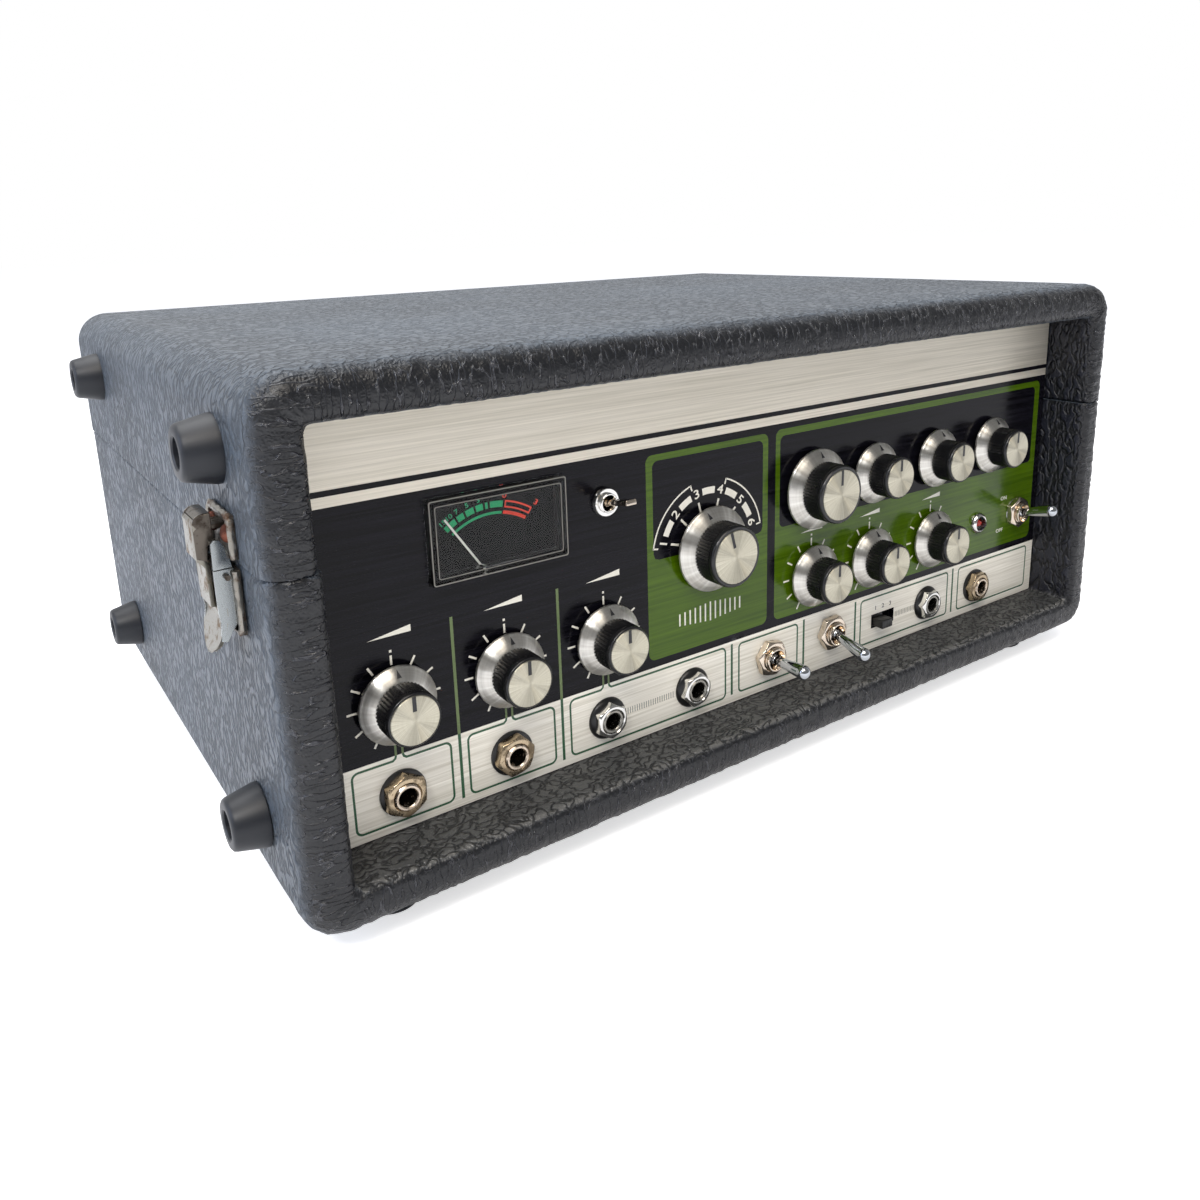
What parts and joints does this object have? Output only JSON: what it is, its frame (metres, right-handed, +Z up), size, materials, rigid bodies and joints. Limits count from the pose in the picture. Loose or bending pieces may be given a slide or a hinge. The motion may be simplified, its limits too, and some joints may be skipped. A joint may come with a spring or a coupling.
{
  "type": "tape echo unit",
  "caption": "Tape echo effects unit in a grained vinyl cabinet with a lift-off lid, knobs, jacks, switches and a level meter on the front.",
  "frame": {"origin": "on the floor, under the middle of the cabinet", "axes": "+X to the user's right along the front, -Y towards the user, +Z up"},
  "size_m": [0.437, 0.3, 0.185],
  "materials": {
    "vinyl": "grained vinyl covering on plywood",
    "foot_rubber": "moulded, matt",
    "screw_steel": "zinc plated",
    "latch_zinc": "zinc plated, spotted with rust",
    "strap": "moulded strap",
    "handle_caps": "plated steel",
    "panel": "brushed aluminium with black and green print",
    "meter_body": "moulded",
    "meter_scale": "printed dark scale",
    "needle": "white paint",
    "clear_plastic": "polished clear",
    "knob_plastic": "fluted grip with spun aluminium skirt and cap",
    "pot_steel": "plated cans",
    "aged_brass": "tarnished nickel on brass",
    "nickel": "bright plated",
    "black_plastic": "moulded",
    "lamp_red": "faceted jewel",
    "chassis_steel": "plated sheet",
    "circuit_green": "solder resist",
    "iron": "varnished laminations",
    "deck_aluminium": "brushed",
    "head_metal": "polished mumetal",
    "tape": "oxide coated film",
    "motor_paint": "enamel",
    "pulley_brass": "turned",
    "belt_rubber": "ground",
    "arm_steel": "zinc plated",
    "coil": "taped coil"
  },
  "bodies": {
    "case": {"lower_case": "vinyl", "bottom_feet": "foot_rubber", "lower_side_feet": "foot_rubber", "case_screws": "screw_steel", "latch_base_plates": "latch_zinc", "handle_strap": "strap", "handle_brackets": "handle_caps", "front_panel": "panel", "meter_case": "meter_body", "meter_face": "meter_scale", "meter_window": "clear_plastic", "potentiometers": "pot_steel", "rotary_switch": "pot_steel", "mic_jacks": "aged_brass", "line_jacks": "nickel", "toggle_switches": "nickel", "slide_switch": "pot_steel", "lamp_bezel": "nickel", "lamp_lens": "lamp_red", "chassis": "chassis_steel", "circuit_board": "circuit_green", "transformer": "iron", "reverb_tank": "chassis_steel", "deck_plate": "deck_aluminium", "tape_heads": "head_metal", "tape_guides": "nickel", "tape_loop": "tape", "tape_cover": "clear_plastic", "motor": "motor_paint", "drive_belt": "belt_rubber", "solenoid": "coil", "rear_plate": "chassis_steel"},
    "lid_top": {"lid": "vinyl", "lid_side_feet": "foot_rubber", "latch_keepers": "latch_zinc"},
    "meter_needle_body": {"meter_needle": "needle"},
    "mic_1_knob_body": {"mic_1_knob": "knob_plastic"},
    "mic_2_knob_body": {"mic_2_knob": "knob_plastic"},
    "instrument_knob_body": {"instrument_knob": "knob_plastic"},
    "mode_knob_body": {"mode_knob": "knob_plastic"},
    "large_knob_body": {"large_knob": "knob_plastic"},
    "bass_knob_body": {"bass_knob": "knob_plastic"},
    "treble_knob_body": {"treble_knob": "knob_plastic"},
    "reverb_knob_body": {"reverb_knob": "knob_plastic"},
    "repeat_rate_knob_body": {"repeat_rate_knob": "knob_plastic"},
    "intensity_knob_body": {"intensity_knob": "knob_plastic"},
    "echo_volume_knob_body": {"echo_volume_knob": "knob_plastic"},
    "meter_toggle_body": {"meter_toggle": "nickel"},
    "input_toggle_body": {"input_toggle": "nickel"},
    "output_toggle_body": {"output_toggle": "nickel"},
    "power_toggle_body": {"power_toggle": "nickel"},
    "slide_button_body": {"slide_button": "black_plastic"},
    "motor_pulley_body": {"motor_pulley": "pulley_brass"},
    "capstan_body": {"capstan": "nickel"},
    "pinch_arm_body": {"pinch_arm": "arm_steel"},
    "pinch_roller_body": {"pinch_roller": "belt_rubber"},
    "left_latch_lever_body": {"left_latch_lever": "latch_zinc"},
    "left_latch_claw_body": {"left_latch_claw": "latch_zinc"},
    "right_latch_lever_body": {"right_latch_lever": "latch_zinc"},
    "right_latch_claw_body": {"right_latch_claw": "latch_zinc"}
  },
  "joints": [
    {"name": "mic_1_knob_turn", "type": "hinge", "parent": "case", "child": "mic_1_knob_body", "pos_m": [-0.16539, -0.127, 0.0718], "axis": [0, 1, 0], "range_deg": [-150, 150]},
    {"name": "mic_2_knob_turn", "type": "hinge", "parent": "case", "child": "mic_2_knob_body", "pos_m": [-0.12404, -0.127, 0.0718], "axis": [0, 1, 0], "range_deg": [-150, 150]},
    {"name": "instrument_knob_turn", "type": "hinge", "parent": "case", "child": "instrument_knob_body", "pos_m": [-0.0827, -0.127, 0.0718], "axis": [0, 1, 0], "range_deg": [-150, 150]},
    {"name": "mode_knob_turn", "type": "hinge", "parent": "case", "child": "mode_knob_body", "pos_m": [-0.03204, -0.127, 0.096], "axis": [0, 1, 0], "range_deg": [-60, 90]},
    {"name": "large_knob_turn", "type": "hinge", "parent": "case", "child": "large_knob_body", "pos_m": [0.02501, -0.127, 0.11], "axis": [0, 1, 0], "range_deg": [-150, 150]},
    {"name": "bass_knob_turn", "type": "hinge", "parent": "case", "child": "bass_knob_body", "pos_m": [0.06161, -0.127, 0.1108], "axis": [0, 1, 0], "range_deg": [-150, 150]},
    {"name": "treble_knob_turn", "type": "hinge", "parent": "case", "child": "treble_knob_body", "pos_m": [0.10399, -0.127, 0.1108], "axis": [0, 1, 0], "range_deg": [-150, 150]},
    {"name": "reverb_knob_turn", "type": "hinge", "parent": "case", "child": "reverb_knob_body", "pos_m": [0.14534, -0.127, 0.1108], "axis": [0, 1, 0], "range_deg": [-150, 150]},
    {"name": "repeat_rate_knob_turn", "type": "hinge", "parent": "case", "child": "repeat_rate_knob_body", "pos_m": [0.02501, -0.127, 0.0718], "axis": [0, 1, 0], "range_deg": [-150, 150]},
    {"name": "intensity_knob_turn", "type": "hinge", "parent": "case", "child": "intensity_knob_body", "pos_m": [0.06161, -0.127, 0.0718], "axis": [0, 1, 0], "range_deg": [-150, 150]},
    {"name": "echo_volume_knob_turn", "type": "hinge", "parent": "case", "child": "echo_volume_knob_body", "pos_m": [0.10399, -0.127, 0.0718], "axis": [0, 1, 0], "range_deg": [-150, 150]},
    {"name": "meter_toggle_flip", "type": "hinge", "parent": "case", "child": "meter_toggle_body", "pos_m": [-0.08104, -0.1291, 0.1235], "axis": [-1, 0, 0], "range_deg": [-24, 0]},
    {"name": "input_toggle_flip", "type": "hinge", "parent": "case", "child": "input_toggle_body", "pos_m": [0.00083, -0.13, 0.0405], "axis": [-1, 0, 0], "range_deg": [-14, 14]},
    {"name": "output_toggle_flip", "type": "hinge", "parent": "case", "child": "output_toggle_body", "pos_m": [0.03783, -0.13, 0.042], "axis": [-1, 0, 0], "range_deg": [0, 30]},
    {"name": "power_toggle_flip", "type": "hinge", "parent": "case", "child": "power_toggle_body", "pos_m": [0.17242, -0.13, 0.0718], "axis": [-1, 0, 0], "range_deg": [-30, 0]},
    {"name": "slide_button_slide", "type": "slide", "parent": "case", "child": "slide_button_body", "axis": [1, 0, 0], "range_m": [0, 0.007]},
    {"name": "meter_needle_swing", "type": "hinge", "parent": "case", "child": "meter_needle_body", "pos_m": [-0.12445, -0.1232, 0.1019], "axis": [0, 1, 0], "range_deg": [0, 68], "stiffness_Nm_per_rad": 0.0001, "springref_deg": -34.38},
    {"name": "lid_lift", "type": "slide", "parent": "case", "child": "lid_top", "axis": [0, 0, 1], "range_m": [0, 0.042]},
    {"name": "left_lever_turn", "type": "hinge", "parent": "case", "child": "left_latch_lever_body", "pos_m": [-0.2111, -0.1135, 0.1242], "axis": [0, 1, 0], "range_deg": [0, 73]},
    {"name": "left_claw_turn", "type": "hinge", "parent": "left_latch_lever_body", "child": "left_latch_claw_body", "pos_m": [-0.2137, -0.1135, 0.1145], "axis": [0, -1, 0], "range_deg": [0, 103]},
    {"name": "right_lever_turn", "type": "hinge", "parent": "case", "child": "right_latch_lever_body", "pos_m": [0.2111, -0.1135, 0.1242], "axis": [0, -1, 0], "range_deg": [0, 73]},
    {"name": "right_claw_turn", "type": "hinge", "parent": "right_latch_lever_body", "child": "right_latch_claw_body", "pos_m": [0.2137, -0.1135, 0.1145], "axis": [0, 1, 0], "range_deg": [0, 103]},
    {"name": "capstan_spin", "type": "hinge", "parent": "case", "child": "capstan_body", "pos_m": [0.01, -0.048, 0.117], "axis": [0, 0, 1], "continuous": true},
    {"name": "motor_pulley_spin", "type": "hinge", "parent": "case", "child": "motor_pulley_body", "pos_m": [0.102, -0.048, 0.1], "axis": [0, 0, 1], "continuous": true},
    {"name": "pinch_arm_swing", "type": "hinge", "parent": "case", "child": "pinch_arm_body", "pos_m": [0.052, -0.074, 0.1205], "axis": [0, 0, -1], "range_deg": [0, 6]},
    {"name": "pinch_roller_spin", "type": "hinge", "parent": "pinch_arm_body", "child": "pinch_roller_body", "pos_m": [0.00902, -0.06685, 0.13], "axis": [0, 0, 1], "continuous": true}
  ],
  "couplings": [
    {"joint": "motor_pulley_spin", "follows": "capstan_spin", "ratio": 4},
    {"joint": "pinch_roller_spin", "follows": "capstan_spin", "ratio": -0.27273},
    {"joint": "left_lever_turn", "follows": "lid_lift", "rad_per_m": 29.92},
    {"joint": "left_claw_turn", "follows": "lid_lift", "rad_per_m": 42.387},
    {"joint": "right_lever_turn", "follows": "lid_lift", "rad_per_m": 29.92},
    {"joint": "right_claw_turn", "follows": "lid_lift", "rad_per_m": 42.387}
  ]
}
